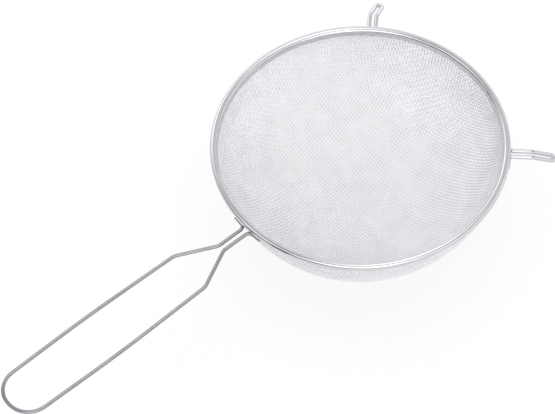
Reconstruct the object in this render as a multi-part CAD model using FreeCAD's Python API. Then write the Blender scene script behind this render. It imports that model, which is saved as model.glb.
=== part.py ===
"""Tea strainer: a woven wire bowl in a rolled steel rim, with a wire loop handle and two wire rest hooks.

Units are millimetres. +Z is up, the handle points along -X, and the hooks are either side of +X.
The origin is the centre of the small flat that the bowl stands on, so the rim lies level above it.
"""
import FreeCAD, Part
import math
import os

Vec = FreeCAD.Vector
AXIS = Vec(0, 0, 1)
CENTRE = Vec(0, 0, 0)

# Rim: a strip folded over the edge of the cloth and curled under a hoop of wire
RIM_OUTER_RADIUS = 40.0
RIM_BASE_Z = 31.6          # height of the rim's lower edge above the flat of the bowl
RIM_HEIGHT = 2.2
STRIP_THICKNESS = 0.25
HOOP_WIRE_DIAMETER = 0.8
FOLD_CLEARANCE = 0.04      # between the strip, the cloth and the hoop inside it

# Bowl: wire cloth, two wires thick where they cross
CLOTH_WIRE_DIAMETER = 0.36
BOWL_FLAT_RADIUS = 8.0
BOWL_KNUCKLE_RADIUS = 10.0  # blends the round of the bowl into the rim and into the flat

# Handle: one wire, bent to a long loop; distances along it are from the rim's outside
HANDLE_WIRE_DIAMETER = 1.0
NECK_HALF_SPACING = 1.0     # the two wires run side by side from the rim
NECK_END = 8.3
SHOULDER = 19.0
SHOULDER_HALF_WIDTH = 6.4
LOOP_MIDDLE = 48.0
LOOP_MIDDLE_HALF_WIDTH = 7.1
LOOP_TIP = 78.3
LOOP_TIP_HALF_WIDTH = 6.65
LOOP_TIP_STRAIGHT = 0.4     # what stays straight across the rounded tip
NECK_BEND_RADIUS = 3.0
DROOP_START = 4.0           # just clear of the rim, the loop starts to dip
HANDLE_DROOP = 1.3          # degrees
DROOP_BEND_RADIUS = 40.0
SHOULDER_BEND_RADIUS = 3.5
LOOP_BOW_RADIUS = 450.0
HANDLE_FOOT_LENGTH = 2.4    # each wire end runs this far along the rim
HANDLE_FOOT_BEND = 1.6

# Rest hooks: one hairpin of wire each
HOOK_WIRE_DIAMETER = 1.2
HOOK_HALF_SPACING = 0.925
HOOK_ANGLE = 44.0           # degrees from +X to each hook
HOOK_STRAIGHT = 5.4         # from the rim's outside to the bend
HOOK_REACH = 6.9            # from the bend to the centre of the wire at the tip
HOOK_DROOP = 26.0           # degrees that the outer part points down
HOOK_TOE_IN = 12.0          # degrees that the outer part turns towards +X
HOOK_BEND_RADIUS = 2.6
HOOK_TIP_STRAIGHT = 0.05
HOOK_FOOT_LENGTH = 2.6
HOOK_FOOT_BEND = 1.2

# Seats and welds: the wires are tucked under the curl of the rim, just clear of the cloth
SEAT_CLEARANCE = 0.02       # between a wire and the curl that it is welded to
CLOTH_GAP = 0.05            # between a wire and the cloth
WELD_ROOT = 7.0             # degrees round the curl from the line of contact to the weld's root
WELD_SPREAD = 38.0          # degrees round the curl from the line of contact to the weld's toe
WELD_END_MARGIN = 0.5       # the weld stops this short of the wire's cut end
WELD_LENGTH = 1.7

# Sizes worked out from those above
CLOTH_THICKNESS = 2 * CLOTH_WIRE_DIAMETER
FOLD_INSIDE = CLOTH_THICKNESS + HOOP_WIRE_DIAMETER + 2 * FOLD_CLEARANCE
BEAD_RADIUS = FOLD_INSIDE / 2 + STRIP_THICKNESS
RIM_INNER_RADIUS = RIM_OUTER_RADIUS - 2 * BEAD_RADIUS
CLOTH_EDGE_RADIUS = RIM_INNER_RADIUS + STRIP_THICKNESS + CLOTH_THICKNESS
CURL_RADIUS = RIM_OUTER_RADIUS - BEAD_RADIUS
CURL_Z = RIM_BASE_Z + BEAD_RADIUS
CROWN_Z = RIM_BASE_Z + RIM_HEIGHT - BEAD_RADIUS


def point(r, z):
    """A point of a section that is later turned about the bowl's axis."""
    return Vec(r, 0, z)


def line(a, b):
    return Part.LineSegment(a, b).toShape()


def arc(a, middle, b):
    return Part.Arc(a, middle, b).toShape()


def section_arc(centre, radius, start, end):
    """An arc in a section; the angles are in degrees from outwards, positive upwards."""
    stops = []
    for angle in (start, (start + end) / 2, end):
        turn = math.radians(angle)
        stops.append(centre + point(radius * math.cos(turn), radius * math.sin(turn)))
    return arc(*stops)


def turned(edges, start=0.0, sweep=360.0):
    """A closed section turned about the bowl's axis."""
    face = Part.Face(Part.Wire(Part.__sortEdges__(edges)))
    face.rotate(CENTRE, AXIS, start)
    return face.revolve(CENTRE, AXIS, sweep)


def filleted(points, radii):
    """Straight runs through the points, with a tangent arc of the given radius at each inner point."""
    edges = []
    here = points[0]
    for before, corner, after, radius in zip(points, points[1:], points[2:], radii):
        back = (before - corner).normalize()
        ahead = (after - corner).normalize()
        half = back.getAngle(ahead) / 2
        setback = radius / math.tan(half)
        first = corner + back * setback
        last = corner + ahead * setback
        inward = (back + ahead).normalize()
        middle = corner + inward * (radius / math.sin(half) - radius)
        edges.append(line(here, first))
        edges.append(arc(first, middle, last))
        here = last
    edges.append(line(here, points[-1]))
    return edges


def wire_solid(edges, diameter):
    """A round wire swept along tangent edges."""
    path = Part.Wire(Part.__sortEdges__(edges))
    first = path.OrderedEdges[0]
    start = first.valueAt(first.FirstParameter)
    along = first.tangentAt(first.FirstParameter)
    if start.distanceToPoint(path.OrderedVertexes[0].Point) > diameter / 10:
        start = first.valueAt(first.LastParameter)
        along = first.tangentAt(first.LastParameter)
    profile = Part.Wire(Part.Circle(start, along, diameter / 2).toShape())
    return path.makePipeShell([profile], True, False)


def mirrored(p):
    return Vec(p.x, -p.y, p.z)


def bowl_face_edges(depth):
    """One face of the cloth in section, from its edge in the rim down to the axis.

    depth is measured inwards from the outside face. The crown is an arc about the bowl's axis, and
    one knuckle radius blends it into the upright edge and into the flat, so its centre follows.
    """
    upper = point(CLOTH_EDGE_RADIUS - BOWL_KNUCKLE_RADIUS, RIM_BASE_Z)
    lower = point(BOWL_FLAT_RADIUS, BOWL_KNUCKLE_RADIUS)
    rise = (upper.x ** 2 + upper.z ** 2 - lower.x ** 2 - lower.z ** 2) / (2 * (upper.z - lower.z))
    crown = point(0, rise)
    radius = BOWL_KNUCKLE_RADIUS + (crown - lower).Length
    to_upper = (upper - crown).normalize()
    to_lower = (lower - crown).normalize()
    to_middle = (to_upper + to_lower).normalize()
    knuckle = BOWL_KNUCKLE_RADIUS - depth
    top = point(upper.x + knuckle, CROWN_Z)
    brim = point(upper.x + knuckle, RIM_BASE_Z)
    high = upper + to_upper * knuckle
    low = lower + to_lower * knuckle
    flat = point(lower.x, depth)
    high_middle = upper + (point(1, 0) + to_upper).normalize() * knuckle
    low_middle = lower + (point(0, -1) + to_lower).normalize() * knuckle
    return [
        line(top, brim),
        arc(brim, high_middle, high),
        arc(high, crown + to_middle * (radius - depth), low),
        arc(low, low_middle, flat),
        line(flat, point(0, depth)),
    ]


def make_mesh_bowl():
    """The pressed wire cloth, as the sheet that its crossing wires fill."""
    outside = bowl_face_edges(0)
    inside = bowl_face_edges(CLOTH_THICKNESS)
    edge_r = CLOTH_EDGE_RADIUS
    rim_edge = line(point(edge_r, CROWN_Z), point(edge_r - CLOTH_THICKNESS, CROWN_Z))
    foot = line(point(0, 0), point(0, CLOTH_THICKNESS))
    return turned(outside + inside + [rim_edge, foot])


def make_rim_channel():
    """The folded strip: inner leg, crown, outer leg, and a curl that turns in under the hoop."""
    crown = point(CURL_RADIUS, CROWN_Z)
    curl = point(CURL_RADIUS, CURL_Z)
    bore = BEAD_RADIUS - STRIP_THICKNESS
    lip_r = CLOTH_EDGE_RADIUS + FOLD_CLEARANCE
    short_of_bottom = max(0.0, lip_r - CURL_RADIUS)    # thick cloth stops the curl early
    outer_stop = -math.degrees(math.acos(short_of_bottom / BEAD_RADIUS))
    inner_stop = -math.degrees(math.acos(short_of_bottom / bore))
    inner_leg = RIM_INNER_RADIUS + STRIP_THICKNESS
    outer_leg = RIM_OUTER_RADIUS - STRIP_THICKNESS
    outside = [
        line(point(RIM_INNER_RADIUS, RIM_BASE_Z), point(RIM_INNER_RADIUS, CROWN_Z)),
        section_arc(crown, BEAD_RADIUS, 180, 0),
        line(point(RIM_OUTER_RADIUS, CROWN_Z), point(RIM_OUTER_RADIUS, CURL_Z)),
        section_arc(curl, BEAD_RADIUS, 0, outer_stop),
    ]
    inside = [
        line(point(inner_leg, RIM_BASE_Z), point(inner_leg, CROWN_Z)),
        section_arc(crown, bore, 180, 0),
        line(point(outer_leg, CROWN_Z), point(outer_leg, CURL_Z)),
        section_arc(curl, bore, 0, inner_stop),
    ]
    if lip_r < CURL_RADIUS:
        outside.append(line(point(CURL_RADIUS, RIM_BASE_Z), point(lip_r, RIM_BASE_Z)))
        lip_top = RIM_BASE_Z + STRIP_THICKNESS
        inside.append(line(point(CURL_RADIUS, lip_top), point(lip_r, lip_top)))
    ends = [edges[-1].valueAt(edges[-1].LastParameter) for edges in (outside, inside)]
    cut_edges = [
        line(point(RIM_INNER_RADIUS, RIM_BASE_Z), point(inner_leg, RIM_BASE_Z)),
        line(*ends),
    ]
    return turned(outside + inside + cut_edges)


def make_rim_hoop():
    """The hoop that stiffens the rim, lying in the curl of the strip behind the cloth."""
    major = CLOTH_EDGE_RADIUS + FOLD_CLEARANCE + HOOP_WIRE_DIAMETER / 2
    sink = math.sqrt(FOLD_CLEARANCE * (CLOTH_THICKNESS + FOLD_CLEARANCE))
    return Part.makeTorus(major, HOOP_WIRE_DIAMETER / 2, Vec(0, 0, CURL_Z - sink), AXIS)


def seat_angle(wire_diameter):
    """Degrees below level, from the curl's centre, of a wire tucked in until it just clears the cloth."""
    reach = BEAD_RADIUS + wire_diameter / 2 + SEAT_CLEARANCE
    out = CLOTH_EDGE_RADIUS + CLOTH_GAP + wire_diameter / 2 - CURL_RADIUS
    return math.degrees(math.acos(out / reach))


def seat_centre(wire_diameter):
    """Section point of a wire that lies against the rim's curl."""
    reach = BEAD_RADIUS + wire_diameter / 2 + SEAT_CLEARANCE
    drop = math.radians(seat_angle(wire_diameter))
    return point(CURL_RADIUS + reach * math.cos(drop), CURL_Z - reach * math.sin(drop))


def foot_centre(seat, half_spacing, bend):
    """Centre of the bend between a wire's foot along the rim and its run outwards, for +Y."""
    y = half_spacing + bend
    return Vec(math.sqrt((seat.x + bend) ** 2 - y ** 2), y, seat.z)


def foot_edges(seat, half_spacing, bend, length):
    """One wire end: along the rim, then turned outwards to run along +X at +Y half_spacing."""
    hub = Vec(0, 0, seat.z)
    bend_centre = foot_centre(seat, half_spacing, bend)
    to_bend = (bend_centre - hub).normalize()
    leave = hub + to_bend * seat.x
    leave_angle = math.atan2(to_bend.y, to_bend.x)
    end_angle = leave_angle + length / seat.x
    mid_angle = (leave_angle + end_angle) / 2
    end = hub + Vec(math.cos(end_angle), math.sin(end_angle), 0) * seat.x
    middle = hub + Vec(math.cos(mid_angle), math.sin(mid_angle), 0) * seat.x
    run = Vec(bend_centre.x, half_spacing, seat.z)
    bend_middle = bend_centre + ((leave - bend_centre) + (run - bend_centre)).normalize() * bend
    return [arc(end, middle, leave), arc(leave, bend_middle, run)]


def both_feet(seat, half_spacing, bend, length):
    """Both ends of a bent wire, mirrored across its middle."""
    edges = foot_edges(seat, half_spacing, bend, length)
    return edges + [edge.mirror(CENTRE, Vec(0, 1, 0)) for edge in edges]


def placed(shape, angle):
    """Turn a piece built along +X to its place round the rim."""
    shape.rotate(CENTRE, AXIS, angle)
    return shape


def make_handle_loop():
    """The handle wire: feet on the rim, a close neck, shoulders, bowed sides and a rounded tip."""
    seat = seat_centre(HANDLE_WIRE_DIAMETER)
    start = foot_centre(seat, NECK_HALF_SPACING, HANDLE_FOOT_BEND).x
    outline = [
        (DROOP_START, NECK_HALF_SPACING),
        (NECK_END, NECK_HALF_SPACING),
        (SHOULDER, SHOULDER_HALF_WIDTH),
        (LOOP_MIDDLE, LOOP_MIDDLE_HALF_WIDTH),
        (LOOP_TIP, LOOP_TIP_HALF_WIDTH),
    ]
    fall = math.tan(math.radians(HANDLE_DROOP))
    side = [Vec(start, NECK_HALF_SPACING, seat.z)]
    for out, y in outline:
        side.append(Vec(RIM_OUTER_RADIUS + out, y, seat.z - fall * (out - DROOP_START)))
    radii = [
        DROOP_BEND_RADIUS,
        NECK_BEND_RADIUS,
        SHOULDER_BEND_RADIUS,
        LOOP_BOW_RADIUS,
        LOOP_TIP_HALF_WIDTH - LOOP_TIP_STRAIGHT / 2,
    ]
    points = side + [mirrored(p) for p in reversed(side)]
    loop = filleted(points, radii + radii[::-1])
    feet = both_feet(seat, NECK_HALF_SPACING, HANDLE_FOOT_BEND, HANDLE_FOOT_LENGTH)
    return placed(wire_solid(feet + loop, HANDLE_WIRE_DIAMETER), 180)


def make_rest_hook(side):
    """A hairpin hook: straight out from the rim, then drooping and toed in. side is +1 or -1 in Y."""
    seat = seat_centre(HOOK_WIRE_DIAMETER)
    start = foot_centre(seat, HOOK_HALF_SPACING, HOOK_FOOT_BEND).x
    toe = -side * math.radians(HOOK_TOE_IN)
    droop = math.radians(HOOK_DROOP)
    ahead = Vec(math.cos(droop) * math.cos(toe), math.cos(droop) * math.sin(toe), -math.sin(droop))
    across_before = Vec(0, 1, 0)
    across_after = Vec(-math.sin(toe), math.cos(toe), 0)
    across_bend = (across_before + across_after) * (1 / (1 + across_before.dot(across_after)))
    bend = Vec(RIM_OUTER_RADIUS + HOOK_STRAIGHT, 0, seat.z)
    tip = bend + ahead * HOOK_REACH
    tip_radius = HOOK_HALF_SPACING - HOOK_TIP_STRAIGHT / 2
    points = [
        Vec(start, HOOK_HALF_SPACING, seat.z),
        bend + across_bend * HOOK_HALF_SPACING,
        tip + across_after * HOOK_HALF_SPACING,
        tip - across_after * HOOK_HALF_SPACING,
        bend - across_bend * HOOK_HALF_SPACING,
        Vec(start, -HOOK_HALF_SPACING, seat.z),
    ]
    radii = [HOOK_BEND_RADIUS, tip_radius, tip_radius, HOOK_BEND_RADIUS]
    feet = both_feet(seat, HOOK_HALF_SPACING, HOOK_FOOT_BEND, HOOK_FOOT_LENGTH)
    hairpin = feet + filleted(points, radii)
    return placed(wire_solid(hairpin, HOOK_WIRE_DIAMETER), side * HOOK_ANGLE)


def weld_section(wire_diameter):
    """Weld metal in the outer crevice between the curl and a wire."""
    seat = seat_centre(wire_diameter)
    curl = point(CURL_RADIUS, CURL_Z)
    wire_radius = wire_diameter / 2
    ratio = BEAD_RADIUS / wire_radius
    drop = seat_angle(wire_diameter)
    on_curl = section_arc(curl, BEAD_RADIUS, WELD_ROOT - drop, WELD_SPREAD - drop)
    back = 180 - drop
    on_wire = section_arc(seat, wire_radius, back - WELD_ROOT * ratio, back - WELD_SPREAD * ratio)
    ends = [edge.valueAt(edge.FirstParameter) for edge in (on_curl, on_wire)]
    toes = [edge.valueAt(edge.LastParameter) for edge in (on_curl, on_wire)]
    return [on_curl, on_wire, line(*ends), line(*toes)]


def make_welds(wire_diameter, half_spacing, bend, foot_length, angle):
    """The welds of one bent wire, one along each of its two feet."""
    seat = seat_centre(wire_diameter)
    bend_centre = foot_centre(seat, half_spacing, bend)
    foot_start = math.degrees(math.atan2(bend_centre.y, bend_centre.x))
    foot_end = foot_start + math.degrees(foot_length / seat.x)
    end = foot_end - math.degrees(WELD_END_MARGIN / seat.x)
    sweep = math.degrees(WELD_LENGTH / seat.x)
    starts = (angle + end - sweep, angle - end)
    return [turned(weld_section(wire_diameter), start, sweep) for start in starts]


def export(name, shape):
    shape.exportStep("parts/%s.step" % name)
    volume = sum(solid.Volume for solid in shape.Solids)
    print("%-18s solids %2d  valid %s  volume %9.2f" % (name, len(shape.Solids), shape.isValid(), volume))


def main():
    os.makedirs("parts", exist_ok=True)
    export("mesh_bowl", make_mesh_bowl())
    export("rim_channel", make_rim_channel())
    export("rim_hoop_wire", make_rim_hoop())
    export("handle_loop", make_handle_loop())
    export("rest_hook_left", make_rest_hook(1))
    export("rest_hook_right", make_rest_hook(-1))
    handle_welds = make_welds(
        HANDLE_WIRE_DIAMETER, NECK_HALF_SPACING, HANDLE_FOOT_BEND, HANDLE_FOOT_LENGTH, 180
    )
    hook_welds = []
    for side in (1, -1):
        hook_welds += make_welds(
            HOOK_WIRE_DIAMETER, HOOK_HALF_SPACING, HOOK_FOOT_BEND, HOOK_FOOT_LENGTH, side * HOOK_ANGLE
        )
    export("handle_welds", Part.makeCompound(handle_welds))
    export("hook_welds", Part.makeCompound(hook_welds))


main()
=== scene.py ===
# %% [markdown]
# # A tea strainer in woven wire
#
# The object is a small kitchen strainer: a bowl of woven stainless wire, a rolled steel rim, a loop of wire
# for a handle and two wire hooks that rest on the lip of a cup. This lesson takes the finished steel parts
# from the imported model, weaves the bowl's cloth wire by wire, presses it to shape as the factory does, and
# gives every piece the finish of its own steel. All sizes are in millimetres, turned to metres by MM.

import math

import bpy
import numpy as np
from mathutils import Matrix, Vector


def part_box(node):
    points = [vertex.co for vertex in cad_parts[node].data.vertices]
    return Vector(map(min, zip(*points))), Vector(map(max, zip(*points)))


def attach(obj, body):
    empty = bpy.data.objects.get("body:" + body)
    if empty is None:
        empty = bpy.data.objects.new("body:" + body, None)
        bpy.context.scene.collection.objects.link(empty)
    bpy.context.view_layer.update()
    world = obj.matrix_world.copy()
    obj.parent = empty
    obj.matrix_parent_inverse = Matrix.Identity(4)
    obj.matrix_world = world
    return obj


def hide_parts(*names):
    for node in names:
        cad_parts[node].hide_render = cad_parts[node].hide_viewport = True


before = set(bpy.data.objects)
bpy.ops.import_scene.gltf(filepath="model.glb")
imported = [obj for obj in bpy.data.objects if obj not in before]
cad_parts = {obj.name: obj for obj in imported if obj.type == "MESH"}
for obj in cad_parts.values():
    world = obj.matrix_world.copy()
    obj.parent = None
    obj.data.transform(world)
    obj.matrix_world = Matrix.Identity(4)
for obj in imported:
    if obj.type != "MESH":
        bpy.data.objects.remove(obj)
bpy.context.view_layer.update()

MM = 0.001
BODY = "root"

print("nodes:", sorted(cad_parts))

# %% [markdown]
# ## Small helpers
#
# Blender's operators act on whatever is selected, and the import leaves everything selected. So each new
# piece starts from an empty selection. The helpers below do that, repeat a mesh with an array modifier, cut
# points away and copy a piece with its mesh.


# %% Helpers for selecting, repeating and cutting
WELD_DISTANCE = 0.005 * MM


def deselect_all():
    """Leave object mode with nothing selected."""
    if bpy.context.mode != "OBJECT":
        bpy.ops.object.mode_set(mode="OBJECT")
    bpy.ops.object.select_all(action="DESELECT")


def select_only(piece):
    """Make one piece the selected and active object."""
    deselect_all()
    piece.select_set(True)
    bpy.context.view_layer.objects.active = piece


def apply_array(piece, name, count, offset):
    """Repeat a mesh along a line and weld each copy to the next one."""
    select_only(piece)
    array = piece.modifiers.new(name, "ARRAY")
    array.count = count
    array.use_relative_offset = False
    array.use_constant_offset = True
    array.constant_offset_displace = offset
    array.use_merge_vertices = True
    array.merge_threshold = WELD_DISTANCE
    bpy.ops.object.modifier_apply(modifier=name)


def delete_points(piece, marked):
    """Delete the marked points of a mesh, with the faces on them."""
    select_only(piece)
    bpy.ops.object.mode_set(mode="EDIT")
    bpy.ops.mesh.select_all(action="DESELECT")
    bpy.ops.object.mode_set(mode="OBJECT")
    piece.data.vertices.foreach_set("select", marked)
    bpy.ops.object.mode_set(mode="EDIT")
    bpy.ops.mesh.delete(type="VERT")
    bpy.ops.object.mode_set(mode="OBJECT")


def copy_of(piece, name):
    """A copy of a piece with a mesh of its own."""
    select_only(piece)
    bpy.ops.object.duplicate(linked=False)
    copy = bpy.context.object
    copy.name = name
    return copy


def count_triangles(piece):
    """Number of triangles in a piece's mesh."""
    return sum(len(face.vertices) - 2 for face in piece.data.polygons)


# %% [markdown]
# ## The camera
#
# The strainer is seen from above and in front of its rim, with the handle running off to the lower left.
# A long lens from most of a metre away keeps the round rim's outline close to a true ellipse. The camera is
# placed by its angles round the object and aimed at a point beside the middle of the rim.

# %% Camera
AZIMUTH = math.radians(-38.453)
ELEVATION = math.radians(54.965)
ROLL = math.radians(-2.548)
CAMERA_DISTANCE = 800.2 * MM
LENS = 195.4
SENSOR_WIDTH = 36.0
AIM_RIGHT = -22.67 * MM
AIM_UP = -15.43 * MM
NEAREST_SEEN = 10 * MM
FARTHEST_SEEN = 50

rim_low, rim_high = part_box("rim_channel")
rim_centre = (rim_low + rim_high) / 2

back = Vector(
    (
        math.sin(AZIMUTH) * math.cos(ELEVATION),
        -math.cos(AZIMUTH) * math.cos(ELEVATION),
        math.sin(ELEVATION),
    )
)
right = Vector((math.cos(AZIMUTH), math.sin(AZIMUTH), 0))
up = back.cross(right)
aim = rim_centre + right * AIM_RIGHT + up * AIM_UP
rolled_right = right * math.cos(ROLL) + up * math.sin(ROLL)
rolled_up = up * math.cos(ROLL) - right * math.sin(ROLL)

camera_data = bpy.data.cameras.new("camera")
camera_data.lens = LENS
camera_data.sensor_fit = "HORIZONTAL"
camera_data.sensor_width = SENSOR_WIDTH
camera_data.clip_start = NEAREST_SEEN
camera_data.clip_end = FARTHEST_SEEN
camera = bpy.data.objects.new("camera", camera_data)
bpy.context.scene.collection.objects.link(camera)
camera.matrix_world = (
    Matrix.Translation(aim + back * CAMERA_DISTANCE)
    @ Matrix((rolled_right, rolled_up, back)).transposed().to_4x4()
)
bpy.context.scene.camera = camera
print("camera at", [round(c, 3) for c in camera.matrix_world.translation])

# %% [markdown]
# ## Colours and nodes
#
# A material here is a small graph of nodes. One function turns a written colour, such as "c8c9cc", into the
# linear numbers that the shaders work with. Another adds a node, sets its sockets and links it up.


# %% Helpers for materials
def linear(code):
    """An sRGB hex colour as linear red, green, blue and alpha."""
    parts = [int(code[i : i + 2], 16) / 255 for i in (0, 2, 4)]
    return [c / 12.92 if c <= 0.04045 else ((c + 0.055) / 1.055) ** 2.4 for c in parts] + [1.0]


def add_node(tree, kind, settings=None, values=None, links=None):
    """Add a node, with its settings, its socket values and the outputs linked to its inputs."""
    node = tree.nodes.new(kind)
    for name, value in (settings or {}).items():
        setattr(node, name, value)
    for socket, value in (values or {}).items():
        node.inputs[socket].default_value = value
    for socket, output in (links or {}).items():
        tree.links.new(output, node.inputs[socket])
    return node


def new_tree(name):
    """A new material with an empty graph."""
    material = bpy.data.materials.new(name)
    material.use_nodes = True
    material.node_tree.nodes.clear()
    return material, material.node_tree


# %% [markdown]
# ## The studio
#
# A small product like this is shot on a white table under a big soft lamp. The table is a real surface that
# takes the strainer's soft shadow. White is added to it for the camera and for reflections only, so that it
# reads as white without any more light on the steel.

# %% Studio: the world and the table
WHITE = "ffffff"
WORLD_LIGHT = 0.70
BACKDROP_WHITE = 1.0
TABLE_SIZE = 6.0
TABLE_PAINT = "808080"
TABLE_LIFT = 0.80

bpy.context.scene.view_settings.view_transform = "Standard"


def seen_rays(tree):
    """1 for rays from the camera, from polished metal or through glass, otherwise 0."""
    path = add_node(tree, "ShaderNodeLightPath")
    first = add_node(
        tree,
        "ShaderNodeMath",
        {"operation": "MAXIMUM"},
        links={0: path.outputs["Is Camera Ray"], 1: path.outputs["Is Glossy Ray"]},
    )
    both = add_node(
        tree,
        "ShaderNodeMath",
        {"operation": "MAXIMUM"},
        links={0: first.outputs[0], 1: path.outputs["Is Transmission Ray"]},
    )
    return both.outputs[0]


world = bpy.data.worlds.new("studio")
bpy.context.scene.world = world
world.use_nodes = True
sky = world.node_tree
sky.nodes.clear()
lighting = add_node(
    sky, "ShaderNodeBackground", values={"Color": linear(WHITE), "Strength": WORLD_LIGHT}
)
backdrop = add_node(
    sky, "ShaderNodeBackground", values={"Color": linear(WHITE), "Strength": BACKDROP_WHITE}
)
choice = add_node(
    sky,
    "ShaderNodeMixShader",
    links={0: seen_rays(sky), 1: lighting.outputs[0], 2: backdrop.outputs[0]},
)
add_node(sky, "ShaderNodeOutputWorld", links={0: choice.outputs[0]})

deselect_all()
bpy.ops.mesh.primitive_plane_add(size=TABLE_SIZE, location=(0, 0, 0))
table = bpy.context.object
table.name = "table"
table_paint, tree = new_tree("white_table_paint")
paint = add_node(tree, "ShaderNodeBsdfDiffuse", values={"Color": linear(TABLE_PAINT)})
seen = seen_rays(tree)
lift = add_node(
    tree,
    "ShaderNodeMath",
    {"operation": "MULTIPLY"},
    values={1: TABLE_LIFT},
    links={0: seen},
)
glow = add_node(
    tree,
    "ShaderNodeEmission",
    values={"Color": linear(WHITE)},
    links={"Strength": lift.outputs[0]},
)
both = add_node(tree, "ShaderNodeAddShader", links={0: paint.outputs[0], 1: glow.outputs[0]})
add_node(tree, "ShaderNodeOutputMaterial", links={0: both.outputs[0]})
table.data.materials.append(table_paint)
print("table", TABLE_SIZE, "m across, and the world ready")

# %% Studio: the lamp
LAMP_POWER = 4.5
LAMP_SIZE = 1.0
LAMP_HEIGHT = 1.2
lamp_data = bpy.data.lights.new("softbox", "AREA")
lamp_data.shape = "SQUARE"
lamp_data.size = LAMP_SIZE
lamp_data.energy = LAMP_POWER
lamp = bpy.data.objects.new("softbox", lamp_data)
bpy.context.scene.collection.objects.link(lamp)
lamp.location = (0, 0, LAMP_HEIGHT)
lamp.visible_glossy = False
print("lamp", LAMP_SIZE, "m wide,", LAMP_HEIGHT, "m above the table")

# %% [markdown]
# ## The light tent
#
# Bright steel is mostly a picture of what stands round it. Photographers stand small bright things in a tent
# of white cloth, with more light behind some of its panels than others, and the steel shows that as light
# and dark bands. The tent could be a ring of lamps, but lamps would also light the table. So it is half a
# sphere whose corners each have their own brightness, and only reflections see it. The values lie round 1,
# the level of the white background.

# %% The light tent
TENT_RADIUS = 2.6
TENT_SIDES = 12
TENT_RINGS = 12
SIDE_ANGLE = 360 / TENT_SIDES
RING_ANGLE = 180 / TENT_RINGS
BELOW_TABLE = -10 * MM
# One row of panels for each ring of corners, from the table up, and the last for the top.
PANELS = (
    (0.77, 2.10, 1.72, 1.04, 0.89, 0.00, 0.00, 0.00, 0.49, 0.22, 0.44, 1.10),
    (0.97, 0.81, 1.20, 1.20, 0.28, 0.00, 0.00, 0.47, 1.87, 1.70, 1.46, 1.07),
    (1.02, 0.63, 1.44, 1.93, 0.92, 1.67, 1.39, 2.11, 2.06, 1.05, 1.12, 1.23),
    (0.35, 1.23, 0.96, 1.12, 0.62, 1.23, 1.02, 2.40, 2.50, 1.06, 0.00, 0.32),
    (1.25, 0.36, 0.49, 0.43, 0.61, 0.47, 0.37, 0.25, 0.53, 0.77, 1.11, 1.68),
    (2.50, 2.50, 1.55, 0.73, 0.46, 0.46, 1.08, 0.85, 1.06, 1.40, 1.71, 2.23),
    (1.82,) * TENT_SIDES,
)

deselect_all()
bpy.ops.mesh.primitive_uv_sphere_add(segments=TENT_SIDES, ring_count=TENT_RINGS, radius=TENT_RADIUS)
tent = bpy.context.object
tent.name = "tent"
delete_points(tent, [corner.co.z < BELOW_TABLE for corner in tent.data.vertices])

panel = tent.data.attributes.new("panel", "FLOAT", "POINT")
for corner, brightness in zip(tent.data.vertices, panel.data):
    height = math.degrees(math.asin(min(1, corner.co.z / TENT_RADIUS)))
    turn = math.degrees(math.atan2(corner.co.y, corner.co.x))
    brightness.value = PANELS[round(height / RING_ANGLE)][round(turn / SIDE_ANGLE) % TENT_SIDES]

tent.visible_camera = False
tent.visible_diffuse = False
tent.visible_shadow = False
tent.visible_transmission = False
tent_cloth, tree = new_tree("tent_cloth")
brightness = add_node(tree, "ShaderNodeAttribute", {"attribute_name": "panel"})
glow = add_node(
    tree,
    "ShaderNodeEmission",
    values={"Color": linear(WHITE)},
    links={"Strength": brightness.outputs["Fac"]},
)
add_node(tree, "ShaderNodeOutputMaterial", links={0: glow.outputs[0]})
tent.data.materials.append(tent_cloth)
print("tent corners:", len(tent.data.vertices))

# %% [markdown]
# ## The cloth: one crimped wire
#
# Plain-weave wire cloth is woven on a loom like cotton: each wire goes over one crossing wire and under the
# next. The bowl's cloth has 0.9 mm from wire to wire, and it was rolled after weaving, so the round wire of
# 0.36 mm is now 0.40 mm wide and 0.28 mm thick. A pattern painted on a smooth bowl would show no holes and
# no crimp at the edges, so the real wires are modelled. One wave of wire is drawn: a ring of six
# points, extruded six times along a wave two pitches long. A second wave is shifted by one pitch each way,
# so that it goes under where the first goes over.

# %% One wave of two neighbouring wires
WIRE = 0.36 * MM
WIRE_WIDTH = 0.40 * MM
WIRE_THICKNESS = 0.28 * MM
PITCH = 0.9 * MM
CRIMP = WIRE_THICKNESS / 2
WIRE_SIDES = 6
STEPS_PER_PITCH = 3
STEP = PITCH / STEPS_PER_PITCH
HALF_COUNT = 64
BAND = HALF_COUNT // 2

deselect_all()
bpy.ops.mesh.primitive_circle_add(
    vertices=WIRE_SIDES,
    radius=WIRE / 2,
    fill_type="NOTHING",
    location=(0, -HALF_COUNT * PITCH, CRIMP),
    rotation=(math.pi / 2, 0, 0),
)
cloth = bpy.context.object
cloth.name = "wire_cloth"
bpy.ops.object.transform_apply(location=False, rotation=True, scale=False)
cloth.scale = (WIRE_WIDTH / WIRE, 1, WIRE_THICKNESS / WIRE)
bpy.ops.object.transform_apply(location=True, rotation=True, scale=True)
bpy.ops.object.mode_set(mode="EDIT")
bpy.ops.mesh.select_all(action="SELECT")
for step in range(2 * STEPS_PER_PITCH):
    here = CRIMP * math.cos(math.pi * step / STEPS_PER_PITCH)
    there = CRIMP * math.cos(math.pi * (step + 1) / STEPS_PER_PITCH)
    bpy.ops.mesh.extrude_region_move(
        TRANSFORM_OT_translate={"value": (0, STEP, there - here)}
    )
bpy.ops.mesh.select_all(action="SELECT")
bpy.ops.mesh.duplicate_move(TRANSFORM_OT_translate={"value": (PITCH, PITCH, 0)})
bpy.ops.object.mode_set(mode="OBJECT")
print("one wave of two wires:", len(cloth.data.polygons), "faces")
print("section", WIRE_WIDTH / MM, "by", WIRE_THICKNESS / MM, "mm, pitch", PITCH / MM, "mm")

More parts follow.
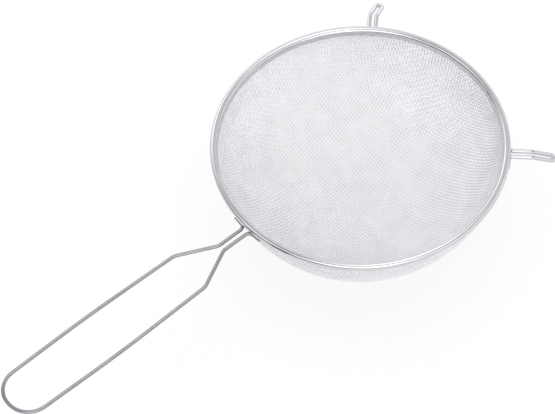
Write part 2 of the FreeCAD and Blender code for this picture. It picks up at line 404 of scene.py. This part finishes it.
# %% [markdown]
# ## The cloth: a flat piece of the weave
#
# An array along the wire makes it full length, and an array across lays the wires side by side. That gives
# one band of the warp, a quarter of its width. The other bands are copies moved over by a whole number of
# waves. The weft is the same cloth turned over about its diagonal, which also swaps over for under.

# %% Arrays along and across
apply_array(cloth, "along", HALF_COUNT, (0, 2 * PITCH, 0))
apply_array(cloth, "across", BAND // 2, (2 * PITCH, 0, 0))
print("flat warp, one band:", len(cloth.data.polygons), "faces")

# %% [markdown]
# ## The bowl's shape
#
# The press turns the flat cloth into a bowl: a small flat bottom, a wide round, a tight bend under the rim
# and a short upright edge that goes up into the rim's fold. The sizes are the ones that the sheet in the
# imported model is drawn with. The function below gives the middle of the cloth at a distance from the
# bottom's centre, measured along the surface, and the slope there.

# %% Profile of the pressed cloth
CLOTH_MIDDLE = WIRE
FLAT_RADIUS = 8 * MM
BEND = 10 * MM
BEND_RADIUS = BEND - CLOTH_MIDDLE
LOWER_BEND_Z = BEND
UPPER_BEND_R = 28.87 * MM
UPPER_BEND_Z = 31.6 * MM
CLOTH_TOP = 1.0 * MM
NEAR_ZERO = 1e-9

# The round is an arc about the bowl's axis that runs into both bends, which fixes where its centre is.
upper_reach = UPPER_BEND_R**2 + UPPER_BEND_Z**2
lower_reach = FLAT_RADIUS**2 + LOWER_BEND_Z**2
ROUND_CENTRE_Z = (upper_reach - lower_reach) / (2 * (UPPER_BEND_Z - LOWER_BEND_Z))
ROUND_RADIUS = BEND_RADIUS + math.hypot(FLAT_RADIUS, ROUND_CENTRE_Z - LOWER_BEND_Z)
low_slope = math.atan2(FLAT_RADIUS, ROUND_CENTRE_Z - LOWER_BEND_Z)
high_slope = math.atan2(UPPER_BEND_R, ROUND_CENTRE_Z - UPPER_BEND_Z)
flat_end = FLAT_RADIUS
lower_bend_end = flat_end + BEND_RADIUS * low_slope
round_end = lower_bend_end + ROUND_RADIUS * (high_slope - low_slope)
upper_bend_end = round_end + BEND_RADIUS * (math.pi / 2 - high_slope)
cloth_end = upper_bend_end + CLOTH_TOP


def profile(distance):
    """Radius, height and slope of the cloth's middle at a distance from the bottom's centre."""
    slope = np.interp(
        distance,
        [flat_end, lower_bend_end, round_end, upper_bend_end],
        [0, low_slope, high_slope, math.pi / 2],
    )
    parts = [distance < flat_end, distance < lower_bend_end, distance < round_end]
    radius = np.select(
        parts,
        [distance, FLAT_RADIUS + BEND_RADIUS * np.sin(slope), ROUND_RADIUS * np.sin(slope)],
        UPPER_BEND_R + BEND_RADIUS * np.sin(slope),
    )
    height = np.select(
        parts,
        [
            CLOTH_MIDDLE,
            LOWER_BEND_Z - BEND_RADIUS * np.cos(slope),
            ROUND_CENTRE_Z - ROUND_RADIUS * np.cos(slope),
        ],
        UPPER_BEND_Z - BEND_RADIUS * np.cos(slope) + np.maximum(0, distance - upper_bend_end),
    )
    return radius, height, slope


def on_bowl(flat):
    """Points on the bowl for points given by distance and direction from the bottom's centre."""
    distance = np.maximum(np.hypot(flat[..., 0], flat[..., 1]), NEAR_ZERO)
    radius, height, _ = profile(distance)
    return np.stack([radius * flat[..., 0] / distance, radius * flat[..., 1] / distance, height], -1)


def inward(flat):
    """Unit normals of the bowl, pointing to its inside."""
    distance = np.maximum(np.hypot(flat[..., 0], flat[..., 1]), NEAR_ZERO)
    slope = profile(distance)[2]
    lean = -np.sin(slope) / distance
    return np.stack([lean * flat[..., 0], lean * flat[..., 1], np.cos(slope)], -1)


print("cloth from centre to edge:", round(cloth_end / MM, 2), "mm")
print("the bend runs into the upright at", UPPER_BEND_Z / MM, "mm, rim from", round(rim_low.z / MM, 2), "mm")

# %% [markdown]
# ## How woven wire takes a round shape
#
# Steel wire doesn't stretch, so each square of the weave keeps its four sides when the cloth is pressed, and
# only its corners open and close, like a garden trellis. That fixes where every crossing goes: each one is
# one step from its two neighbours. Starting from the two wires through the middle, the next point is found
# from the last two by a few steps of Newton's method. It is done on a net three times finer than the weave,
# so that the same net also gives the points between the crossings. One quarter is enough, because the bowl
# is round.

# %% The net on the bowl
NET_COUNT = STEPS_PER_PITCH * (HALF_COUNT + 2)
WEAVE_TURN = math.radians(9)
NEWTON_STEPS = 4
NUDGE = 1e-8
SMALLEST_SCALE = 1e-15
SMALLEST_MOVE = 1e-12


def step_errors(flat, first, second):
    """How far points are from being one step away from both neighbours."""
    place = on_bowl(flat)
    return np.stack(
        [
            ((place - first) ** 2).sum(-1) - STEP**2,
            ((place - second) ** 2).sum(-1) - STEP**2,
        ],
        -1,
    )


net = np.zeros((NET_COUNT + 1, NET_COUNT + 1, 2))
net[:, 0, 0] = np.arange(NET_COUNT + 1) * STEP
net[0, :, 1] = np.arange(NET_COUNT + 1) * STEP
for total in range(2, 2 * NET_COUNT + 1):
    i = np.arange(max(1, total - NET_COUNT), min(NET_COUNT, total - 1) + 1)
    j = total - i
    first = on_bowl(net[i, j - 1])
    second = on_bowl(net[i - 1, j])
    guess = net[i, j - 1] + net[i - 1, j] - net[i - 1, j - 1]
    for _ in range(NEWTON_STEPS):
        error = step_errors(guess, first, second)
        by_x = (step_errors(guess + [NUDGE, 0], first, second) - error) / NUDGE
        by_y = (step_errors(guess + [0, NUDGE], first, second) - error) / NUDGE
        scale = by_x[:, 0] * by_y[:, 1] - by_y[:, 0] * by_x[:, 1]
        scale = np.where(abs(scale) < SMALLEST_SCALE, SMALLEST_SCALE, scale)
        move_x = (error[:, 0] * by_y[:, 1] - by_y[:, 0] * error[:, 1]) / scale
        move_y = (by_x[:, 0] * error[:, 1] - error[:, 0] * by_x[:, 1]) / scale
        move = np.stack([move_x, move_y], -1)
        length = np.linalg.norm(move, axis=-1, keepdims=True)
        guess = guess - move * np.minimum(1, STEP / np.maximum(length, SMALLEST_MOVE))
    net[i, j] = guess
print("one quarter of the net:", net.shape[0], "x", net.shape[1], "points")

# %% The whole net, turned as the cloth was cut
signs = np.sign(np.arange(-NET_COUNT, NET_COUNT + 1))
order = np.abs(np.arange(-NET_COUNT, NET_COUNT + 1))
full_net = net[np.ix_(order, order)]
full_net[..., 0] *= signs[:, None]
full_net[..., 1] *= signs[None, :]
turn = Matrix.Rotation(WEAVE_TURN, 3, "Z")
net_place = on_bowl(full_net) @ np.array(turn).T
net_inward = inward(full_net) @ np.array(turn).T
net_distance = np.hypot(full_net[..., 0], full_net[..., 1])
print("net of", full_net.shape[0], "x", full_net.shape[1], "points")

# %% [markdown]
# ## Trimming and pressing
#
# The flat cloth is first cut to the shape of the blank: every ring of wire that would end above the rim's
# fold goes, and the cut ends are closed. Then each ring of the wire is moved to its place on the net. Its
# middle goes to the net's point and its six points are set out square to the wire, so the wire keeps its
# section however far the weave shears.


# %% Trim one band of wires to the blank
def mesh_points(piece):
    """The mesh's points as an array."""
    points = np.empty(len(piece.data.vertices) * 3, np.float32)
    piece.data.vertices.foreach_get("co", points)
    return points.reshape(-1, 3).astype(float)


def places_in_net(wire, ring, is_warp):
    """The net's row and column for each point's ring, kept two steps inside the net."""
    index = [wire * STEPS_PER_PITCH, np.clip(ring, 2 - NET_COUNT, NET_COUNT - 2)]
    if not is_warp:
        index.reverse()
    return index[0] + NET_COUNT, index[1] + NET_COUNT


def trim(piece, outside):
    """Cut the flat wires to the blank and close their ends."""
    delete_points(piece, outside)
    bpy.ops.object.mode_set(mode="EDIT")
    bpy.ops.mesh.select_all(action="SELECT")
    bpy.ops.mesh.fill_holes(sides=WIRE_SIDES)
    bpy.ops.object.mode_set(mode="OBJECT")


# %% Press one band of wires on the bowl
def wire_frames(place_i, place_j, is_warp):
    """For each point, its wire's middle on the bowl, the way across the wire and the way inward."""
    normal = net_inward[place_i, place_j]
    if is_warp:
        along_wire = net_place[place_i, place_j + 1] - net_place[place_i, place_j - 1]
        side = np.cross(along_wire, normal)
    else:
        along_wire = net_place[place_i + 1, place_j] - net_place[place_i - 1, place_j]
        side = np.cross(normal, along_wire)
    side /= np.linalg.norm(side, axis=1, keepdims=True)
    return net_place[place_i, place_j], side, normal


def press(piece, is_warp):
    """Trim a flat band of wires, press it on the bowl and smooth it."""
    points = mesh_points(piece)
    across, along = (0, 1) if is_warp else (1, 0)
    wire = np.rint(points[:, across] / PITCH).astype(int)
    ring = np.rint(points[:, along] / STEP).astype(int)
    place_i, place_j = places_in_net(wire, ring, is_warp)
    outside = (abs(ring) > NET_COUNT - 2) | (net_distance[place_i, place_j] > cloth_end)
    trim(piece, outside)

    points = mesh_points(piece)
    keep = ~outside
    middle, side, normal = wire_frames(place_i[keep], place_j[keep], is_warp)
    offset = points[:, across] - wire[keep] * PITCH
    pressed = middle + side * offset[:, None] + normal * points[:, 2:3]
    piece.data.vertices.foreach_set("co", pressed.ravel())
    piece.data.update()

    bpy.ops.object.mode_set(mode="EDIT")
    bpy.ops.mesh.select_all(action="SELECT")
    bpy.ops.mesh.normals_make_consistent(inside=False)
    bpy.ops.object.mode_set(mode="OBJECT")
    bpy.ops.object.shade_smooth()


# %% Eight bands of wires
BAND_STARTS = (-2 * BAND, -BAND, 0, BAND)
turned_over = Matrix.Rotation(math.pi, 4, Vector((1, 1, 0)).normalized())
cloth_pieces = []
for kind, is_warp in (("warp", True), ("weft", False)):
    for number, shift in enumerate(BAND_STARTS, 1):
        piece = copy_of(cloth, "cloth_%s_%d" % (kind, number))
        piece.data.transform(Matrix.Translation((shift * PITCH, 0, 0)))
        if not is_warp:
            piece.data.transform(turned_over)
        press(piece, is_warp)
        cloth_pieces.append(piece)
        print(piece.name, count_triangles(piece), "triangles")
bpy.data.objects.remove(cloth)

# %% [markdown]
# ## Finishes
#
# Every piece is stainless steel, and the pieces differ in how each was made and in two painted tones. The
# cloth is drawn wire, left dull by the loom and the rolls, and its near-white tone is painted light. The rim
# is strip that ran through forming rolls, so faint lines run round it. The handle is left as it came from the
# drawing die, with fine lines along it; its grey is partly the wire's own and partly painted shade.
# The hooks were tumbled bright after bending. Where a wire is welded, the metal is dull and tinted by the
# heat. The patterns could be images wrapped round each piece, but noise that reads the piece's own place in
# metres needs no wrapping, and a line is as fine on the model as it is on the steel.


# %% Steel with a grain
NOISE_DETAIL = 2.0
NOISE_ENDS = {"From Min": 0.3, "From Max": 0.7}


def steel(name, place_of, colours, colour_size, roughness, grain_size, depth):
    """Steel with a mottled tone, a grain in its roughness and the same grain in its surface."""
    material, tree = new_tree(name)
    where = add_node(tree, "ShaderNodeTexCoord").outputs["Object"]
    mottle = add_node(
        tree,
        "ShaderNodeTexNoise",
        values={"Scale": 1 / colour_size, "Detail": NOISE_DETAIL},
        links={"Vector": where},
    )
    choice = add_node(
        tree, "ShaderNodeMapRange", values=NOISE_ENDS, links={"Value": mottle.outputs["Fac"]}
    )
    tone = add_node(
        tree,
        "ShaderNodeMix",
        settings={"data_type": "RGBA"},
        values={6: linear(colours[0]), 7: linear(colours[1])},
        links={0: choice.outputs[0]},
    )
    lines = add_node(
        tree,
        "ShaderNodeTexNoise",
        values={"Scale": 1 / grain_size, "Detail": NOISE_DETAIL},
        links={"Vector": place_of(tree, where)},
    )
    dullness = add_node(
        tree,
        "ShaderNodeMapRange",
        values={**NOISE_ENDS, "To Min": roughness[0], "To Max": roughness[1]},
        links={"Value": lines.outputs["Fac"]},
    )
    relief = add_node(
        tree,
        "ShaderNodeBump",
        values={"Strength": 1.0, "Distance": depth},
        links={"Height": lines.outputs["Fac"]},
    )
    shader = add_node(
        tree,
        "ShaderNodeBsdfPrincipled",
        values={"Metallic": 1.0},
        links={
            "Base Color": tone.outputs[2],
            "Roughness": dullness.outputs[0],
            "Normal": relief.outputs["Normal"],
        },
    )
    add_node(tree, "ShaderNodeOutputMaterial", links={0: shader.outputs[0]})
    return material


# %% Three ways for the grain to run
WIRE_DRAWN_OUT = 0.05
RIM_DRAWN_OUT = 0.02


def as_it_is(tree, where):
    """Grain with no direction."""
    return where


def along_x(tree, where):
    """Grain drawn out along X, twenty times longer than it is wide."""
    drawn = add_node(
        tree,
        "ShaderNodeVectorMath",
        settings={"operation": "MULTIPLY"},
        values={1: (WIRE_DRAWN_OUT, 1, 1)},
        links={0: where},
    )
    return drawn.outputs["Vector"]


def round_the_rim(tree, where):
    """Grain drawn out round the Z axis: it changes with radius and height, and only slowly along."""
    level = add_node(
        tree,
        "ShaderNodeVectorMath",
        settings={"operation": "MULTIPLY"},
        values={1: (1, 1, 0)},
        links={0: where},
    )
    radius = add_node(
        tree,
        "ShaderNodeVectorMath",
        settings={"operation": "LENGTH"},
        links={0: level.outputs["Vector"]},
    )
    height = add_node(tree, "ShaderNodeSeparateXYZ", links={0: where})
    section = add_node(
        tree,
        "ShaderNodeCombineXYZ",
        links={"X": radius.outputs["Value"], "Y": height.outputs["Z"]},
    )
    slow = add_node(
        tree,
        "ShaderNodeVectorMath",
        settings={"operation": "SCALE"},
        values={"Scale": RIM_DRAWN_OUT},
        links={0: level.outputs["Vector"]},
    )
    lines = add_node(
        tree,
        "ShaderNodeVectorMath",
        settings={"operation": "ADD"},
        links={0: section.outputs["Vector"], 1: slow.outputs["Vector"]},
    )
    return lines.outputs["Vector"]


# %% The six finishes
# Each noise pattern is as fine as the real mark that it stands for, in millimetres.

# The cloth's drawn and rolled wire: dull, with a near-white tone that is painted light, paler than the steel,
# so the bowl looks soft and pale from a distance.
cloth_steel = steel(
    "rolled_wire_cloth_painted_light",
    as_it_is,
    colours=("f0f0f3", "f9f9fc"),
    colour_size=5 * MM,
    roughness=(0.38, 0.48),
    grain_size=0.12 * MM,
    depth=0.003 * MM,
)
# The rim's buffed strip: clear reflections, drawn out by the fine lines left by the forming rolls.
rim_steel = steel(
    "roll_formed_stainless_strip",
    round_the_rim,
    colours=("cfcfd3", "d6d6d9"),
    colour_size=9 * MM,
    roughness=(0.08, 0.20),
    grain_size=0.08 * MM,
    depth=0.0008 * MM,
)
# The handle's drawn wire: duller than the rim, with faint lines along it from the die. Its grey is partly the
# wire's own and partly painted shade, standing in for the dark reflection along the wire.
handle_steel = steel(
    "die_drawn_wire_painted_shade",
    along_x,
    colours=("98989d", "a2a2a6"),
    colour_size=4 * MM,
    roughness=(0.18, 0.30),
    grain_size=0.10 * MM,
    depth=0.001 * MM,
)
# The hooks' wire: the same wire with the die's lines tumbled away, which leaves a soft orange-peel sheen.
hook_steel = steel(
    "tumbled_stainless_wire",
    as_it_is,
    colours=("cacacf", "d2d2d6"),
    colour_size=3 * MM,
    roughness=(0.12, 0.24),
    grain_size=0.15 * MM,
    depth=0.001 * MM,
)
# The hoop inside the fold: plain drawn wire that no one polishes, seen only in the fold's shadow.
hoop_steel = steel(
    "plain_drawn_stainless_wire",
    round_the_rim,
    colours=("a8a8ac", "b2b2b6"),
    colour_size=6 * MM,
    roughness=(0.25, 0.40),
    grain_size=0.12 * MM,
    depth=0.002 * MM,
)
# Weld metal: melted and set, so rough and dull, with the straw-brown tint that heat leaves on stainless.
weld_steel = steel(
    "heat_tinted_weld_metal",
    as_it_is,
    colours=("8e8e8f", "9b968f"),
    colour_size=0.6 * MM,
    roughness=(0.40, 0.60),
    grain_size=0.12 * MM,
    depth=0.02 * MM,
)
FINISHES = (cloth_steel, rim_steel, handle_steel, hook_steel, hoop_steel, weld_steel)
print("finishes:", [finish.name for finish in FINISHES])

# %% [markdown]
# ## Putting the finishes on
#
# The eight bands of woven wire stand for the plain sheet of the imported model, ride on its body and take the
# cloth's finish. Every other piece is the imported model's own, and only gets a better material. That could be
# one steel for all, but then nothing would tell the wires from the strip.

# %% The finishes on the pieces
for piece in cloth_pieces:
    piece.data.materials.append(cloth_steel)
    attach(piece, BODY)
    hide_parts("mesh_bowl")
print(len(cloth_pieces), "bands of cloth are finished in", cloth_steel.name)

NODE_FINISHES = {
    "rim_channel": rim_steel,
    "rim_hoop_wire": hoop_steel,
    "handle_loop": handle_steel,
    "rest_hook_left": hook_steel,
    "rest_hook_right": hook_steel,
    "handle_welds": weld_steel,
    "hook_welds": weld_steel,
}
for name, finish in NODE_FINISHES.items():
    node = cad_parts[name]
    node.data.materials.clear()
    node.data.materials.append(finish)
    print(name, "is finished in", finish.name)
